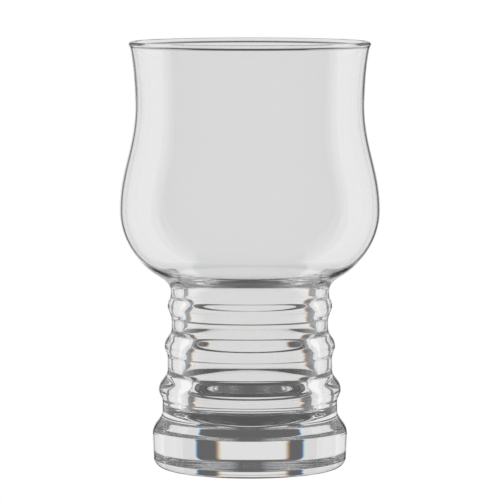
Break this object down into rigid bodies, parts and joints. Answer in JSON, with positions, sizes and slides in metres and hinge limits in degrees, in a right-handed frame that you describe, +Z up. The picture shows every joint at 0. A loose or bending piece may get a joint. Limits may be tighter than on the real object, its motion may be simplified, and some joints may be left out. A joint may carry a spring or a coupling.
{
  "type": "pint glass",
  "caption": "Footed clear-glass pint glass: a thin flared bowl with a beaded rim on a thick hollow stem with rounded ribs, above a solid foot.",
  "frame": {"origin": "centre of the resting plane, on the axis of the glass", "axes": "+Z up along the axis of revolution, from the foot to the rim; X and Y are free, because the glass is round"},
  "size_m": [0.0946, 0.0946, 0.1552],
  "materials": {
    "clear_glass": "clear, colourless, fire-polished soda-lime glass"
  },
  "bodies": {
    "root": {"bowl": "clear_glass", "ribbed_stem": "clear_glass", "foot": "clear_glass"}
  },
  "joints": []
}
